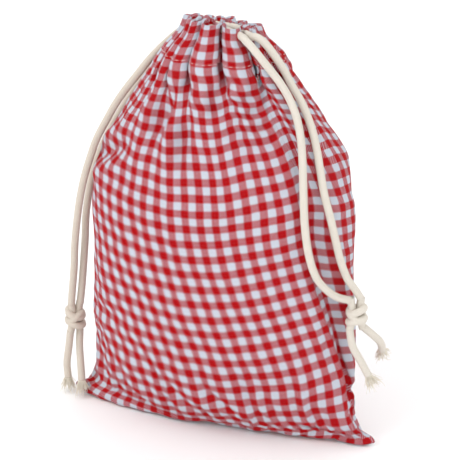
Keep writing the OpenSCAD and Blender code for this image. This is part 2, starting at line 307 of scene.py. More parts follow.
def panel_grid(side):
    """The front (side 0) or back (side 1) panel of the sack, as rows of points."""
    at = np.linspace(0, PANEL_W, COLUMNS + 1)
    levels = np.linspace(0, CASING_Z + CASING_H, 201)
    ways = []
    for z in levels:
        gap = slit_angle(z)
        first = 180 * side + turn(z) + gap
        points, out, along = section(z, first, first + 180 - 2 * gap)
        s, x, y = pleated(along[-1], PLEAT_SEED + side)
        x, y = np.interp(at, s, x), np.interp(at, s, y)
        y = y - float(rise(z, 190, 30)) - 7.0 * float(rise(z, 226, 24))
        y = y - PIT_DEPTH * math.exp(-((z - PIT_Z) / PIT_H) ** 2) * fold_share(at, PLEAT_SEED + side)
        ways.append(on_line(x, along, points) + on_line(x, along, out) * y[:, None])
    ways = np.array(ways)
    heights, unders = row_heights(side, levels)
    grid = np.zeros((ROWS + 1, COLUMNS + 1, 3))
    for k in range(COLUMNS + 1):
        z, under = heights[:, k], unders[:, k]
        px = np.interp(z, levels, ways[:, k, 0])
        py = np.interp(z, levels, ways[:, k, 1])
        lift = rim_lift(side, at[k]) * rise(z, CASING_Z, CASING_H)
        grid[:, k] = np.stack([mix(px * SEAM_W / CORNER_W, px, under), py * under, z + CLOTH_Z + lift], 1)
    return grid


# ---------------- meshes
def new_object(name, points, faces, material, uv=None):
    """A mesh object from points in mm."""
    mesh = bpy.data.meshes.new(name)
    mesh.from_pydata((np.asarray(points) * MM).tolist(), [], [list(map(int, f)) for f in faces])
    mesh.validate()
    if uv is not None:
        layer = mesh.uv_layers.new(name="Flat")
        index = np.zeros(len(mesh.loops), int)
        mesh.loops.foreach_get("vertex_index", index)
        layer.data.foreach_set("uv", np.asarray(uv)[index].astype(np.float32).ravel())
    mesh.polygons.foreach_set("use_smooth", np.ones(len(mesh.polygons), bool))
    mesh.materials.append(material)
    made = bpy.data.objects.new(name, mesh)
    bpy.context.scene.collection.objects.link(made)
    return made


def grid_normals(grid):
    down = np.gradient(grid, axis=0)
    across = np.gradient(grid, axis=1)
    return unit(np.cross(down, across))


def refine(grid, times=2):
    """The grid with more rows and columns, on a smooth curve through the old points."""
    for axis in (0, 1):
        g = np.moveaxis(grid, axis, 0)
        before = np.concatenate([2 * g[:1] - g[1:2], g[:-1]])
        after = np.concatenate([g[1:], 2 * g[-1:] - g[-2:-1]])
        slope = (after - before) / 2
        parts = []
        for k in range(times):
            t = k / times
            parts.append((2 * t**3 - 3 * t**2 + 1) * g[:-1] + (t**3 - 2 * t**2 + t) * slope[:-1]
                         + (3 * t**2 - 2 * t**3) * g[1:] + (t**3 - t**2) * slope[1:])
        fine = np.stack(parts, 1).reshape((-1,) + g.shape[1:])
        grid = np.moveaxis(np.concatenate([fine, g[-1:]]), 0, axis)
    return grid


def sheet_mesh(name, grid, uv, material, thickness=CLOTH_T):
    """A sheet of cloth with a thickness, from a grid of points on its outer face."""
    rows, columns = grid.shape[:2]
    inner = grid - grid_normals(grid) * thickness
    points = np.concatenate([grid.reshape(-1, 3), inner.reshape(-1, 3)])
    flat = np.concatenate([uv.reshape(-1, 2)] * 2)
    index = np.arange(rows * columns).reshape(rows, columns)
    a, b, c, d = index[:-1, :-1], index[:-1, 1:], index[1:, 1:], index[1:, :-1]
    quads = np.stack([d, c, b, a], -1).reshape(-1, 4)
    other = rows * columns
    faces = [quads, quads[:, ::-1] + other]
    for line in (index[0], index[-1, ::-1], index[::-1, 0], index[:, -1]):
        faces.append(np.stack([line[1:], line[:-1], line[:-1] + other, line[1:] + other], 1))
    return new_object(name, points, np.concatenate(faces), material, flat)


def smooth_route(route, step=1.0):
    """Points about a step apart on a smooth curve through the route."""
    p = np.array(route, float)
    p = np.concatenate([[2 * p[0] - p[1]], p, [2 * p[-1] - p[-2]]])
    made = []
    for a, b, c, d in zip(p[:-3], p[1:-2], p[2:-1], p[3:]):
        count = max(1, int(round(np.linalg.norm(c - b) / step)))
        for k in range(count):
            t = k / count
            made.append(0.5 * (2 * b + (c - a) * t + (2 * a - 5 * b + 4 * c - d) * t**2
                               + (3 * b - a - 3 * c + d) * t**3))
    made.append(p[-2])
    return np.array(made)


def frames(path):
    """Two directions square to the path at each point, without twist."""
    ahead = unit(np.gradient(path, axis=0))
    start = np.cross(ahead[0], (0.31, 0.95, 0.05))
    side = [unit(start)]
    for t in ahead[1:]:
        side.append(unit(side[-1] - t * np.dot(side[-1], t)))
    side = np.array(side)
    return side, np.cross(ahead, side), ahead


def tube(name, path, radius, material, sides=20, relief=0.0, pitch=6.0):
    """A cord along a path, with the relief of its braid, and texture coordinates in mm."""
    side, up, _ = frames(path)
    along = path_length(path)
    angle = np.linspace(0, 2 * np.pi, sides + 1)[:-1]
    turn_by = 2 * np.pi * along[:, None] / pitch
    strands = 4
    braid = np.cos(strands * angle[None] + turn_by) * np.cos(strands * angle[None] - turn_by)
    r = radius + relief * braid
    points = (path[:, None] + r[..., None] * (np.cos(angle)[None, :, None] * side[:, None]
                                              + np.sin(angle)[None, :, None] * up[:, None]))
    count = len(path)
    uv = np.stack(np.broadcast_arrays(angle[None] * radius, along[:, None]), -1)
    return new_object(name, points.reshape(-1, 3), tube_faces(count, sides), material, uv.reshape(-1, 2))


def tube_faces(count, sides, start=0):
    """The sides and both ends of a tube of rings, whose points are numbered from the start."""
    index = np.arange(count * sides).reshape(count, sides) + start
    a, b = index[:-1], index[1:]
    quads = np.stack([a, np.roll(a, -1, 1), np.roll(b, -1, 1), b], -1).reshape(-1, 4)
    return quads.tolist() + [index[0, ::-1].tolist(), index[-1].tolist()]


def threads(name, paths, radius, material, sides=5, taper=1.0):
    """Many thin threads in one mesh. Each gets thinner towards its far end."""
    points, faces, flat = [], [], []
    for path in paths:
        side, up, _ = frames(path)
        count = len(path)
        faces += tube_faces(count, sides, start=sum(len(p) for p in points))
        angle = np.linspace(0, 2 * np.pi, sides + 1)[:-1]
        r = radius * np.linspace(1, taper, count)[:, None, None]
        ring = np.cos(angle)[None, :, None] * side[:, None] + np.sin(angle)[None, :, None] * up[:, None]
        points.append((path[:, None] + r * ring).reshape(-1, 3))
        along = np.linspace(0, 1, count) * np.linalg.norm(path[-1] - path[0])
        flat.append(np.stack(np.broadcast_arrays(angle[None] * radius, along[:, None]), -1).reshape(-1, 2))
    return new_object(name, np.concatenate(points), faces, material, np.concatenate(flat))


# ---------------- materials
class Nodes:
    """Short names for building a shader."""

    def __init__(self, name):
        self.material = bpy.data.materials.new(name)
        self.material.use_nodes = True
        self.tree = self.material.node_tree
        self.shader = self.tree.nodes["Principled BSDF"]

    def add(self, kind, **values):
        made = self.tree.nodes.new(kind)
        for key, value in values.items():
            setattr(made, key, value)
        return made

    def plug(self, value, socket):
        if isinstance(value, bpy.types.NodeSocket):
            self.tree.links.new(value, socket)
        else:
            socket.default_value = value

    def maths(self, operation, a, b=0.0, c=0.0):
        made = self.add("ShaderNodeMath", operation=operation)
        for value, socket in zip((a, b, c), made.inputs):
            self.plug(value, socket)
        return made.outputs[0]

    def step(self, value, low, high):
        made = self.add("ShaderNodeMapRange", interpolation_type="SMOOTHSTEP")
        for v, k in ((value, 0), (low, 1), (high, 2), (0.0, 3), (1.0, 4)):
            self.plug(v, made.inputs[k])
        return made.outputs[0]

    def blend(self, factor, a, b):
        made = self.add("ShaderNodeMix", data_type="RGBA")
        self.plug(factor, made.inputs["Factor"])
        self.plug(a, made.inputs[6])
        self.plug(b, made.inputs[7])
        return made.outputs[2]

    def noise(self, vector, scale, detail=2.0, roughness=0.5):
        made = self.add("ShaderNodeTexNoise")
        self.plug(vector, made.inputs["Vector"])
        for key, value in (("Scale", scale), ("Detail", detail), ("Roughness", roughness)):
            made.inputs[key].default_value = value
        return made.outputs["Fac"]

    def scaled(self, vector, factor):
        made = self.add("ShaderNodeVectorMath", operation="MULTIPLY")
        self.plug(vector, made.inputs[0])
        made.inputs[1].default_value = factor
        return made.outputs[0]

    def wave(self, value, times):
        """A zigzag from 0 to a half and back, some times for each unit of the value."""
        return self.maths("PINGPONG", self.maths("MULTIPLY", value, times), 0.5)

    def finish(self, colour, height, bump, roughness, specular):
        """Plugs a colour and a relief into the shader. The bump is its strength and its distance."""
        self.plug(colour, self.shader.inputs["Base Color"])
        made = self.add("ShaderNodeBump")
        made.inputs["Strength"].default_value, made.inputs["Distance"].default_value = bump
        self.plug(height, made.inputs["Height"])
        self.plug(made.outputs[0], self.shader.inputs["Normal"])
        self.shader.inputs["Roughness"].default_value = roughness
        self.shader.inputs["Specular IOR Level"].default_value = specular


def linear(r, g, b):
    """A colour given as it looks on a screen, 0 to 255, as the shader takes it."""
    c = np.array([r, g, b]) / 255
    c = np.where(c <= 0.04045, c / 12.92, ((c + 0.055) / 1.055) ** 2.4)
    return (*map(float, c), 1.0)


def gingham(name):
    """Red and white woven check from the flat coordinates of the cloth, in check periods."""
    hatch_lines, thread_lines = 7.0, 36.0
    n = Nodes(name)
    flat = n.add("ShaderNodeUVMap", uv_map="Flat").outputs[0]
    wobble = n.noise(n.scaled(flat, (1.3, 1.3, 0)), 1.0, 2.0)
    wobble = n.maths("MULTIPLY", n.maths("SUBTRACT", wobble, 0.5), 0.05)
    split = n.add("ShaderNodeSeparateXYZ")
    n.plug(flat, split.inputs[0])
    u = n.maths("ADD", split.outputs[0], wobble)
    v = n.maths("ADD", split.outputs[1], wobble)

    # Red where both threads are red, white where neither is, and hatched where one of them is
    warp, weft = (n.step(n.wave(x, 1.0), 0.235, 0.265) for x in (u, v))
    hatch_wave = n.wave(n.maths("ADD", u, v), hatch_lines)
    hatch = n.step(hatch_wave, 0.09, 0.17)
    both = n.maths("MULTIPLY", warp, weft)
    either = n.maths("SUBTRACT", n.maths("ADD", warp, weft), n.maths("MULTIPLY", both, 2.0))

    red_n = n.noise(n.scaled(flat, (18, 4, 0)), 1.0, 3.0)
    white_n = n.noise(n.scaled(flat, (9, 22, 0)), 1.0, 3.0)
    red = n.blend(red_n, linear(146, 4, 11), linear(172, 9, 17))
    white = n.blend(white_n, linear(168, 175, 187), linear(198, 203, 212))
    colour = n.blend(n.maths("MULTIPLY_ADD", either, hatch, both), white, red)
    grain = n.noise(n.scaled(flat, (60, 60, 0)), 1.0, 2.0)
    shade = n.add("ShaderNodeMix", data_type="RGBA", blend_type="MULTIPLY")
    shade.inputs[0].default_value = 1.0
    n.plug(colour, shade.inputs[6])
    n.plug(n.maths("MULTIPLY_ADD", grain, 0.16, 0.92), shade.inputs[7])
    weave = n.maths("ADD", n.wave(v, thread_lines), n.wave(u, thread_lines))
    height = n.maths("ADD", n.maths("MULTIPLY", hatch_wave, 0.7), n.maths("MULTIPLY", weave, 0.5))
    n.finish(shade.outputs[2], height, bump=(0.35, 0.00015), roughness=0.88, specular=0.2)
    return n.material


def cotton_cord(name, tone):
    """Natural cotton cord with a fine braid and specks, and painted shade in the braid's gaps, from
    coordinates in mm.
    """
    braid_lines = 0.8
    # The darkest of these tones is painted shade for the gaps between the braid's strands
    lighter, darker, speck_tone, braid_gap_painted_shade = (linear(*[min(255, c + change) for c in tone])
                                             for change in (8, -9, -34, -45))
    n = Nodes(name)
    flat = n.add("ShaderNodeUVMap", uv_map="Flat").outputs[0]
    split = n.add("ShaderNodeSeparateXYZ")
    n.plug(flat, split.inputs[0])
    u, v = split.outputs[0], split.outputs[1]
    braid = n.maths("ADD", n.wave(n.maths("ADD", u, v), braid_lines),
                    n.wave(n.maths("SUBTRACT", u, v), braid_lines))
    blotch = n.noise(n.scaled(flat, (0.5, 0.16, 0)), 1.0, 3.0)
    speck = n.noise(n.scaled(flat, (3.5, 3.5, 0)), 1.0, 2.0)
    base = n.blend(blotch, darker, lighter)
    base = n.blend(n.step(speck, 0.60, 0.75), base, speck_tone)
    # Painted shade: the low gaps between the braid's strands are darkened towards the darkest tone
    base = n.blend(n.maths("MULTIPLY", n.step(braid, 0.28, 0.02), 0.35), base, braid_gap_painted_shade)
    height = n.maths("ADD", braid, n.maths("MULTIPLY", speck, 0.8))
    n.finish(base, height, bump=(0.5, 0.0003), roughness=0.92, specular=0.15)
    return n.material


def plain_cotton(name, colour):
    """Cotton thread or fibre, in slightly uneven tones of one colour."""
    n = Nodes(name)
    where = n.add("ShaderNodeTexCoord").outputs["Object"]
    tone = n.noise(where, 900.0, 2.0)
    dark = tuple(c * 0.82 for c in colour[:3]) + (1.0,)
    n.plug(n.blend(tone, dark, colour), n.shader.inputs["Base Color"])
    n.shader.inputs["Roughness"].default_value = 0.9
    return n.material


# ---------------- camera, light and floor
def set_camera():
    """The photo's view: from the right of the front and a little above, through a long lens."""
    azimuth, elevation, distance = math.radians(23.5), math.radians(22.0), 1.4
    target = Vector((0, 0, 0.125))
    way = Vector((math.sin(azimuth) * math.cos(elevation), -math.cos(azimuth) * math.cos(elevation),
                  math.sin(elevation)))
    data = bpy.data.cameras.new("Camera")
    data.sensor_width = 36.0
    data.lens = 185.7
    data.shift_x, data.shift_y = 0.0180, -0.0072
    data.clip_start, data.clip_end = 0.05, 20.0
    camera = bpy.data.objects.new("Camera", data)
    camera.location = target + way * distance
    camera.rotation_euler = (-way).to_track_quat("-Z", "Y").to_euler()
    bpy.context.scene.collection.objects.link(camera)
    bpy.context.scene.camera = camera


def area_light(name, at, size, power):
    """A soft round light that shines at the middle of the sack."""
    middle = Vector((0, 0, 0.12))
    data = bpy.data.lights.new(name, "AREA")
    data.shape = "DISK"
    data.size = size
    data.energy = power
    made = bpy.data.objects.new(name, data)
    made.location = at
    made.rotation_euler = (middle - Vector(at)).to_track_quat("-Z", "Y").to_euler()
    bpy.context.scene.collection.objects.link(made)


def ground(name, material):
    """A flat square on the ground, far wider than the sack."""
    half = 3000.0
    return new_object(name, [(-half, -half, 0), (half, -half, 0), (half, half, 0), (-half, half, 0)],
                      [(0, 1, 2, 3)], material)


def set_stage():
    """Even white light from all round, two soft lights, and a white floor."""
    white_light, floor_tone = 1.13, 0.97
    scene = bpy.context.scene
    scene.view_settings.view_transform = "Standard"
    world = bpy.data.worlds.new("World")
    scene.world = world
    world.use_nodes = True
    world.node_tree.nodes["Background"].inputs[0].default_value = (1.0, 1.0, 1.0, 1.0)
    world.node_tree.nodes["Background"].inputs[1].default_value = white_light
    area_light("Key", (-0.9, -1.3, 1.5), size=0.9, power=9.0)
    area_light("Fill", (1.4, -0.9, 0.9), size=1.2, power=3.0)
    floor_material = bpy.data.materials.new("floor_white")
    floor_material.use_nodes = True
    shader = floor_material.node_tree.nodes["Principled BSDF"]
    shader.inputs["Base Color"].default_value = (floor_tone, floor_tone, floor_tone, 1.0)
    shader.inputs["Roughness"].default_value = 0.9
    ground("floor", floor_material)


# ---------------- how the cloth settles
# The cloth settles at ten times its size, in metres, because the solver is made for garments
SIM_SCALE = MM * 10.0
SETTLE_FRAMES = 45
CLOTH_SETTINGS = {
    "quality": 6, "mass": 0.15, "tension_stiffness": 30, "compression_stiffness": 30,
    "shear_stiffness": 12, "bending_stiffness": 0.6, "tension_damping": 8, "compression_damping": 8,
    "shear_damping": 5, "bending_damping": 0.5, "air_damping": 3.0}
CLOTH_COLLISION = {
    "collision_quality": 2, "distance_min": 0.006, "use_self_collision": True,
    "self_distance_min": 0.008, "self_friction": 3, "friction": 6}
BODY_COLLISION = {"thickness_outer": 0.006, "thickness_inner": 0.08, "cloth_friction": 12}


def set_values(target, values):
    for key, value in values.items():
        setattr(target, key, value)


def sewn(front):
    """Vertex numbers of the front and the back panel, which share those along the seams."""
    rows, columns = front.shape[:2]
    slit_row = int(np.argmax(front[:, 0, 2] > SLIT_FOOT_Z))
    front_index = np.arange(rows * columns).reshape(rows, columns)
    back_index = front_index + rows * columns
    back_index[:slit_row, 0] = front_index[:slit_row, -1]
    back_index[:slit_row, -1] = front_index[:slit_row, 0]
    back_index[0] = front_index[0, ::-1]
    return front_index, back_index


def laid_flat(rows, columns):
    """The points of both panels as cut, lying face to face, in mm."""
    s = np.linspace(0, PANEL_W, columns)
    flat = np.zeros((2, rows, columns, 3))
    flat[0, ..., 0] = PANEL_W / 2 - s
    flat[1, ..., 0] = s - PANEL_W / 2
    flat[..., 2] = np.linspace(0, PANEL_H, rows)[:, None]
    return flat.reshape(-1, 3)


def pin_cloth(cloth, flat, held):
    """Holds the casing, and the two bottom corners of the cloth ever more firmly towards their tips."""
    pins = cloth.vertex_groups.new(name="pins")
    reach = np.hypot(PANEL_W / 2 - np.abs(flat[:, 0]), flat[:, 2])
    for weight, chosen in ((0.15, reach < 17), (0.5, reach < 13), (1.0, reach < 9), (1.0, held)):
        pins.add(np.nonzero(chosen)[0].tolist(), weight, "REPLACE")


def relax(front, back):
    """Lets the cloth settle over the filling, from the start shape, cut to its flat size."""
    rows, columns = front.shape[:2]
    pin_row = int(np.argmax(front[:, 0, 2] > CASING_Z + CLOTH_Z))
    front_index, back_index = sewn(front)
    quads = np.concatenate([
        np.stack([index[:-1, :-1], index[:-1, 1:], index[1:, 1:], index[1:, :-1]], -1).reshape(-1, 4)
        for index in (front_index, back_index)])
    used = np.unique(quads)
    new = np.full(2 * rows * columns, -1)
    new[used] = np.arange(len(used))
    points = np.concatenate([front.reshape(-1, 3), back.reshape(-1, 3)])[used]
    flat = laid_flat(rows, columns)[used]
    row_of = np.concatenate([np.repeat(np.arange(rows), columns)] * 2)[used]

    mesh = bpy.data.meshes.new("sim")
    mesh.from_pydata((points * SIM_SCALE).tolist(), [], new[quads].tolist())
    cloth = bpy.data.objects.new("sim", mesh)
    bpy.context.scene.collection.objects.link(cloth)
    cloth.shape_key_add(name="Basis")
    key = cloth.shape_key_add(name="Flat")
    key.data.foreach_set("co", (flat * SIM_SCALE).astype(np.float32).ravel())
    key.value = 0.0
    pin_cloth(cloth, flat, row_of >= pin_row)
    modifier = cloth.modifiers.new("Cloth", "CLOTH")
    set_values(modifier.settings, CLOTH_SETTINGS)
    modifier.settings.vertex_group_mass = "pins"
    modifier.settings.rest_shape_key = key
    set_values(modifier.collision_settings, CLOTH_COLLISION)
    fill = filling_body()
    floor = ground("sim_ground", None)
    for body in (fill, floor):
        body.modifiers.new("Collision", "COLLISION")
        set_values(body.collision, BODY_COLLISION)

    scene = bpy.context.scene
    scene.frame_start, scene.frame_end = 1, SETTLE_FRAMES
    modifier.point_cache.frame_start, modifier.point_cache.frame_end = 1, SETTLE_FRAMES
    for number in range(1, SETTLE_FRAMES + 1):
        scene.frame_set(number)
    settled = bpy.data.meshes.new_from_object(
        cloth.evaluated_get(bpy.context.evaluated_depsgraph_get()))
    co = np.zeros(len(settled.vertices) * 3, np.float32)
    settled.vertices.foreach_get("co", co)
    co = co.reshape(-1, 3) / SIM_SCALE
    for body in (cloth, fill, floor):
        bpy.data.objects.remove(body)
    bpy.data.meshes.remove(settled)
    scene.frame_set(1)
    return co[new[front_index]].astype(float), co[new[back_index]].astype(float)


def filling_body():
    """What fills the sack while its cloth settles. It isn't part of the object."""
    heights = np.concatenate([[2.2, 3.5, 6, 9, 13, 18], np.linspace(24, 222, 45), [225, 226]])
    degrees = np.linspace(0, 360, 145)[:-1]
    rings = []
    for z in heights:
        round_off = 9.0 * max(0.0, 1 - z / 16.0) ** 2
        inset = 1.6 + round_off + 7.0 * float(rise(z, 184, 34)) + 6 * max(0.0, (z - 222) / 4)
        drop = inset + valley(z, degrees)
        power = mix(BASE_POWER, 1.0, min(1.0, z / OVAL_Z))
        x, y = oval(min(half_w(z), BODY_W) - drop, half_d(z) - drop, degrees, power)
        rings.append(np.stack([x, y, np.full_like(x, z)], 1))
    rings = np.array(rings)
    count, sides = rings.shape[:2]
    index = np.arange(count * sides).reshape(count, sides)
    a, b = index[:-1], index[1:]
    quads = np.stack([a, b, np.roll(b, -1, 1), np.roll(a, -1, 1)], -1).reshape(-1, 4)
    faces = quads.tolist() + [index[0].tolist(), index[-1, ::-1].tolist()]
    return new_object("sim_fill", rings.reshape(-1, 3) * SIM_SCALE / MM, faces, None)


# ---------------- the finished cloth
def draw_in_seams(grid):
    """Draws the cloth in along the side seams, as their stitches do."""
    for column, deep in ((0, 1.3), (1, 0.7), (2, 0.2), (-1, 1.3), (-2, 0.7), (-3, 0.2)):
        line = grid[:, column]
        way = unit(line * (-1, -1, 0))
        fade = (1 - rise(line[:, 2], 212, 10)) * rise(line[:, 2], 3, 6)
        grid[:, column] = line + way * (deep * fade)[:, None]


def evened(grid):
    """The settled cloth with its crumpled spots smoothed out, on the shoulders only."""
    rounds, share = 10, 0.8
    grid = grid.copy()
    for _ in range(rounds):
        z = grid[1:-1, 1:-1, 2]
        here = share * rise(z, 150, 14) * (1 - rise(z, 212, 12))
        around = (grid[:-2, 1:-1] + grid[2:, 1:-1] + grid[1:-1, :-2] + grid[1:-1, 2:]) / 4
        grid[1:-1, 1:-1] += here[..., None] * (around - grid[1:-1, 1:-1])
    return grid


def blurred(field, reach):
    """A field of vectors over a grid, evened out over some rows and columns."""
    for axis in (0, 1):
        total = np.zeros_like(field)
        for k in range(-reach, reach + 1):
            index = np.clip(np.arange(field.shape[axis]) + k, 0, field.shape[axis] - 1)
            total += np.take(field, index, axis)
        field = total / (2 * reach + 1)
    return field


def deepen(grid):
    """Deepens the valley beside the right-hand seam, below the shoulders."""
    for row in grid:
        z = float(row[:, 2].mean())
        degrees = np.degrees(np.arctan2(-row[:, 1] / half_d(z), row[:, 0] / half_w(z)))
        share = 0.55 * (1 - float(rise(z, 120, 40)))
        row += unit(row * (-1, -1, 0)) * (share * np.maximum(valley(z, degrees), 0))[:, None]


def pressed_in(grid):
    """How far the creases move the cloth, in mm, with a soft ridge along both of their sides."""
    push = np.zeros(grid.shape[:2])
    for line, depth, wide in CREASES:
        line = smooth_route(line, 2.0)
        nearest = np.full(push.shape, 1e9)
        where = np.zeros(push.shape)
        for k, point in enumerate(line):
            away = np.linalg.norm((grid - point) * (1, 0.8, 1), axis=-1)
            closer = away < nearest
            nearest[closer] = away[closer]
            where[closer] = k / (len(line) - 1)
        fade = np.sin(np.pi * np.clip(where, 0.02, 0.98)) ** 0.6 * (1 - rise(grid[..., 2], 216, 10))
        push -= depth * fade * np.exp(-(nearest / wide) ** 2)
        push += 0.4 * depth * fade * np.exp(-((nearest - 2.1 * wide) / wide) ** 2)
    return push


def wrinkled(s, v):
    """Faint uneven waves over the flat cloth, in mm."""
    rng = np.random.default_rng(3)
    height = np.zeros(s.shape)
    waves = 16
    for _ in range(waves):
        angle, length = rng.uniform(0, np.pi), rng.uniform(13, 45)
        way = s * np.cos(angle) + v * np.sin(angle)
        height += 0.004 * length * np.sin(2 * np.pi * way / length + rng.uniform(0, 6))
    return 1.3 * height


def crease(grid):
    """Presses the creases into the cloth and wrinkles it, but not at its seams."""
    rows, columns = grid.shape[:2]
    s, v = np.meshgrid(np.linspace(0, PANEL_W, columns), np.linspace(0, PANEL_H, rows))
    from_seam = np.minimum(s, PANEL_W - s)
    edge = rise(from_seam, 0, 12) * rise(v, 0, 12) * smooth((PANEL_H - 30 - v) / 12)
    push = pressed_in(grid) * rise(from_seam, 0, 3) + wrinkled(s, v) * edge
    grid += blurred(grid_normals(grid), 5) * push[..., None]
    grid[..., 2] = np.maximum(grid[..., 2], CLOTH_Z)


# The way of the hem over the rim: how far in and how far up, in mm
HEM_ARC = ((0.35, 0.75), (1.15, 1.1), (1.95, 0.75))
HEM_ARC_STEP = 0.9


def with_hem(grid):
    """The cloth with its top turned in: over the rim, behind the cords and down to the stitching."""
    rows, columns = grid.shape[:2]
    step = PANEL_H / (rows - 1)
    reach = 13
    window = 2 * reach + 1
    rim = grid[-1]
    inward = -unit(rim * (1 / RIM_W**2, 1 / RIM_D**2, 0))
    hem = [rim + inward * across + np.array([0, 0, up]) for across, up in HEM_ARC]
    number = np.arange(columns)
    ends = smooth(np.minimum(number, columns - 1 - number) / 22)[:, None]
    for k in range(int(round(HEM / step)) + 1):
        line = grid[rows - 1 - k]
        padded = np.pad(line, ((reach, reach), (0, 0)), mode="edge")
        middle = np.stack([np.convolve(padded[:, i], np.ones(window) / window, mode="valid")
                           for i in range(3)], 1)
        low = k * step
        room = float(rise(low, 0, 6) * (1 - rise(low, 15, 8)))
        depth = mix(2.3, mix(5.5, 9.5, ends), room)
        made = mix(line, middle, 0.65 * room * ends) + inward * depth
        made[:, 2] = line[:, 2]
        hem.append(made)
    return np.concatenate([grid, np.array(hem)])


def hem_uv(rows, columns, side):
    """Flat coordinates of the cloth with its hem, in check periods."""
    body, arc = 2 * ROWS + 1, len(HEM_ARC)
    step = PANEL_H / (body - 1)
    v = np.concatenate([np.arange(body) * step, PANEL_H + HEM_ARC_STEP * np.arange(1, arc + 1),
                        PANEL_H + HEM_ARC_STEP * (arc + 1) + np.arange(rows - body - arc) * step])
    s = np.linspace(0, PANEL_W, columns) + PANEL_W * side
    return np.stack(np.broadcast_arrays(s[None], v[:, None]), -1) / CHECK


def build_cloth(material):
    """Both panels with their hems. Returns their fine grids without the hem, by name."""
    panels = panel_grid(0), panel_grid(1)
    panels = [evened(grid) for grid in relax(*panels)]
    grids = {}
    for side, name in enumerate(("front", "back")):
        grid = refine(panels[side])
        deepen(grid)
        crease(grid)
        draw_in_seams(grid)
        grids[name] = grid
        whole = with_hem(grid)
        made = sheet_mesh(name + "_cloth", whole, hem_uv(*whole.shape[:2], side), material)
        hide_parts(name + "_panel", name + "_casing")
        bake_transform(made)
    return grids


# ---------------- sewing
def stitch_row(name, grid, material):
    """Running stitches along the foot of the casing, on the face of the cloth."""
    stitch, stitch_step, thread_r, proud = 2.3, 3.9, 0.13, 0.15
    row = grid.shape[0] - 1 - int(round(HEM / (PANEL_H / (grid.shape[0] - 1))))
    normals = grid_normals(grid)[row]
    line = grid[row] + normals * proud
    along = path_length(line)
    arch = 2 * proud * np.sin(np.linspace(0, np.pi, 6)) - proud
    paths = []
    start = 3.0
    while start + 3 < along[-1] - 2:
        at = np.linspace(start, start + stitch, len(arch))
        paths.append(on_line(at, along, line) + on_line(at, along, normals) * arch[:, None])
        start += stitch_step
    return threads(name, paths, thread_r, material)


# The strips that stand for seam allowances: points across, their distance, and two cloths' thickness
STRIP_COLUMNS, STRIP_STEP, STRIP_T = 6, 1.5, 1.2


def seam_strip(name, line, material):
    """The edges of both panels inside a side seam."""
    line = line[(line[:, 2] > 3) & (line[:, 2] < 218)]
    way = unit(line * (-1, -1, 0))
    tangent = np.stack([-way[:, 1], way[:, 0], 0 * way[:, 0]], 1)
    inset = 1.6 + STRIP_STEP * np.arange(STRIP_COLUMNS)
    columns = []
    for k in range(STRIP_COLUMNS):
        lean = 0.35 * np.sin(line[:, 2] / 17) * k
        columns.append(line + way * inset[k] + tangent * (0.5 + lean)[:, None])
    uv = np.stack(np.broadcast_arrays(np.arange(STRIP_COLUMNS)[None] * STRIP_STEP, line[:, 2:3]), -1)
    return sheet_mesh(name, np.stack(columns, 1), uv / CHECK, material, STRIP_T)


def bottom_strip(name, material):
    """The edges of both panels inside the seam under the base, turned towards the back."""
    x = np.linspace(SEAM_W - 6, 6 - SEAM_W, 120)
    deep = np.linspace(1.5, 8, STRIP_COLUMNS)
    z = 2.6 + 0.25 * np.sin(x / 9)
    grid = np.stack(np.broadcast_arrays(x[None], deep[:, None], z[None]), -1)[::-1]
    uv = np.stack(np.broadcast_arrays(x[None], deep[:, None]), -1) / CHECK
    return sheet_mesh(name, grid, uv, material, STRIP_T)


def tack(name, at, material):
    """Close threads sewn across the foot of a side slit."""
    count, half, gap, thread_r = 7, 3.0, 0.4, 0.25
    out = unit(at * (1, 1, 0))
    along = np.array([-out[1], out[0], 0])
    up = np.array([0, 0, 1.0])
    t = np.linspace(-1, 1, 9)[:, None]
    paths = [at + along * t * half + out * 0.5 * (1 - t**2) + up * (gap * (k - (count - 1) / 2) + 0.3 * t)
             for k in range(count)]
    return threads(name, paths, thread_r, material)


def build_sewing(grids, gingham_material, thread):
    """The stitching of both casings, the tacks at both slits, and the cut edges inside the seams."""
    for name in ("front", "back"):
        made = stitch_row(name + "_stitching", grids[name], thread)
        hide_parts(name + "_casing_stitching")
        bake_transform(made)
    for name, line in (("left", grids["front"][:, -1]), ("right", grids["front"][:, 0])):
        made = seam_strip(name + "_seam_edges", line, gingham_material)
        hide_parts(name + "_seam_allowance")
        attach(made, "sack")
        made = tack(name + "_tack", line[int(np.argmax(line[:, 2] > SLIT_FOOT_Z))], thread)
        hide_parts(name + "_seam_tack")
        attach(made, "sack")
    made = bottom_strip("bottom_seam_edges", gingham_material)
    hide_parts("bottom_seam_allowance")
    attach(made, "sack")


# ---------------- cords
# How far the strands of the braid stand out, in mm: on cords in the open and on hidden ones
BRAID, HIDDEN_BRAID = 0.07, 0.05


def free_cord(name, route, material, body, bends):
    """A cord outside the sack. One that bends is kept where it lies, attached to nothing; any other is
    attached to the body.
    """
    path = smooth_route(route)
    made = tube(name, path, CORD_D / 2, material, relief=BRAID)
    if bends:
        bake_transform(made)
    else:
        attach(made, body)
    return made


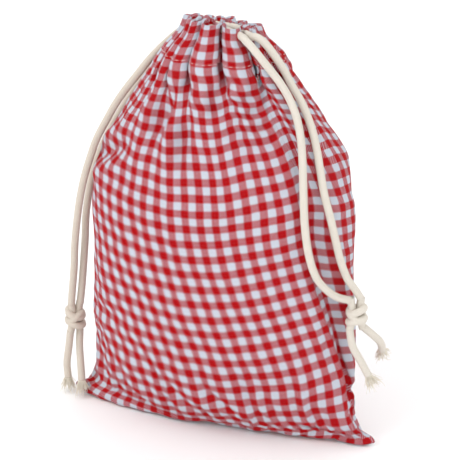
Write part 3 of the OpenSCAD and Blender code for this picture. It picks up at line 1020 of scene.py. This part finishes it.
def build_cords(left, right, fibre):
    """Strands, knots, tails and their frayed ends, on both sides."""
    sides = {
        "left": (left, 1, LEFT_KNOT_AT, (LEFT_FRONT, LEFT_BACK), (LEFT_FRONT_TAIL, LEFT_BACK_TAIL)),
        "right": (right, -1, RIGHT_KNOT_AT, (RIGHT_FRONT, RIGHT_BACK), (RIGHT_FRONT_TAIL, RIGHT_BACK_TAIL))}
    for side, (material, flip, centre, strands, tails) in sides.items():
        knot = build_knot(side + "_tied_knot", centre, [r[-1] for r in strands], [r[0] for r in tails],
                          flip, material)
        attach(knot, side + "_knot_end")
        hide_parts(side + "_knot")
        for which, strand, tail in zip(("front", "back"), strands, tails):
            name = f"{side}_{which}"
            made = free_cord(name + "_strand_cord", strand, material, side + "_pull", True)
            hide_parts(name + "_strand")
            ends = fray(name + "_fray", tail, fibre, len(name) + 7 * flip + 20)
            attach(ends, side + "_knot_end")
            made = free_cord(name + "_tail_cord", tail, material, side + "_knot_end", False)
            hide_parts(name + "_tail")


def casing_point(z, degrees, inset):
    x, y = oval(half_w(z) - inset, half_d(z) - inset, degrees)
    return (float(x), float(y), z)


def run_route(z, first, last, head=(), tail=()):
    """The way of a cord inside the casing, behind the pleats, between two angles and two exits."""
    shallow, deep, near_end = 10.0, 15.0, 0.14
    route = list(head)
    for t in np.linspace(0, 1, 31):
        inset = mix(shallow, deep, float(smooth(min(t, 1 - t) / near_end)))
        route.append(casing_point(z, mix(first, last, t), inset))
    return route + list(tail)


def hidden_cord(name, route, step, body, node, material):
    """A stretch of cord inside the casing or across a slit."""
    made = tube(name, smooth_route(route, step), CORD_D / 2, material, sides=14, relief=HIDDEN_BRAID)
    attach(made, body)
    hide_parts(node)


def build_runs(left, right):
    """The cords inside the casing, and where they cross the slits."""
    near, far = SEAM_TURN + SLIT_ANGLE, SEAM_TURN + 180 - SLIT_ANGLE
    front, back = (near, far), (near + 180, far + 180)
    runs = (
        ("front_upper", "front_mouth", right, run_route(UPPER_RUN_Z, *front, head=RIGHT_FRONT[:1])),
        ("front_lower", "front_mouth", left, run_route(LOWER_RUN_Z, *front, tail=LEFT_FRONT[:1])),
        ("back_upper", "back_mouth", right, run_route(UPPER_RUN_Z, *back, tail=RIGHT_BACK[:1])),
        ("back_lower", "back_mouth", left, run_route(LOWER_RUN_Z, *back, head=LEFT_BACK[:1])))
    for name, body, material, route in runs:
        hidden_cord(name + "_run", route, 2.0, body, name + "_cord_run", material)
    inset = 10.0
    for name, z, middle, material in (("left", UPPER_RUN_Z, SEAM_TURN + 180, right),
                                      ("right", LOWER_RUN_Z, SEAM_TURN, left)):
        route = [casing_point(z, middle + a, inset) for a in np.linspace(1 - SLIT_ANGLE, SLIT_ANGLE - 1, 9)]
        hidden_cord(name + "_crossing", route, 1.0, "sack", name + "_cord_crossing", material)


def knot_loop(centre, radius, lift, slant, lean, start):
    """One turn of cord round a knot, whose ends dive into it. Angles in degrees."""
    t = np.linspace(0, 1, 60)
    angle = np.radians(start) + t * 2 * np.pi * 1.08
    dive = np.minimum(1, np.minimum(t, 1 - t) / 0.09)
    r = radius * (0.35 + 0.65 * np.sin(dive * np.pi / 2))
    ring = np.stack([r * np.cos(angle), r * np.sin(angle) * 0.94, np.zeros_like(t)], 1)
    slanted = Matrix.Rotation(math.radians(slant), 3, "Y") @ Matrix.Rotation(math.radians(lean), 3, "X")
    return ring @ np.array(slanted).T + np.array(centre) + np.array([0, 0, lift])


def build_knot(name, centre, heads, tails, flip, material):
    """An overhand knot: slanted turns, one of them over the others, round the cords that pass through."""
    parts = [knot_loop(centre, 4.6, 3.0, 24 * flip, 4, 200),
             knot_loop(centre, 4.7, -2.9, 20 * flip, -4, 160),
             knot_loop(centre, 4.9, 0.2, -38 * flip, 6, 250)]
    centre = np.array(centre)
    for head, tail in zip(np.array(heads, float), np.array(tails, float)):
        middle = centre + (head - centre) * (0.35, 0.35, 0)
        parts.append(smooth_route([head + (0, 0, 1.5), mix(head, middle, 0.5), middle,
                                   mix(tail, middle, 0.5), tail - (0, 0, 1.0)]))
    pieces = [tube(f"{name}_{k}", path, CORD_D / 2, material, sides=18, relief=BRAID)
              for k, path in enumerate(parts)]
    with bpy.context.temp_override(active_object=pieces[0], selected_editable_objects=pieces):
        bpy.ops.object.join()
    made = pieces[0]
    made.name = made.data.name = name
    return made


def fray(name, route, material, seed):
    """The loose fibres at the end of a tail, fanned out and a little curled."""
    fibres, fibre_r, spread = 110, 0.22, 1.9
    rng = np.random.default_rng(seed)
    tip, ahead = np.array(route[-1], float), unit(np.subtract(route[-1], route[-2]).astype(float))
    side = unit(np.cross(ahead, (0.3, 0.9, 0.1)))
    up = np.cross(ahead, side)
    t = np.linspace(0, 1, 8)[:, None]
    paths = []
    for _ in range(fibres):
        a, r = rng.uniform(0, 2 * np.pi), spread * math.sqrt(rng.uniform(0, 1))
        lean = 0.09 + 0.30 * r / spread * rng.uniform(0.3, 1.5)
        b = a + rng.normal(0, 0.5)
        length = rng.uniform(6.5, 11.0)
        out = side * np.cos(a) + up * np.sin(a)
        way = side * np.cos(b) + up * np.sin(b)
        curl = rng.normal(0, 0.9, 3) * np.sin(t * rng.uniform(2, 4.5))
        path = tip + out * r + ahead * (t * length - 1.5) + way * lean * length * t**1.5 + curl * t
        path[:, 2] = np.maximum(path[:, 2], FIBRE_Z)
        paths.append(path)
    return threads(name, paths, fibre_r, material, sides=4, taper=0.5)


# ---------------- the scene
def build():
    set_camera()
    set_stage()
    cloth = gingham("gingham")
    cord_left = cotton_cord("cord_left", (208, 198, 185))
    cord_right = cotton_cord("cord_right", (216, 209, 198))
    thread = plain_cotton("thread", linear(238, 236, 232))
    grids = build_cloth(cloth)
    build_sewing(grids, cloth, thread)
    build_runs(cord_left, cord_right)
    build_cords(cord_left, cord_right, plain_cotton("fibre", linear(240, 232, 216)))


build()
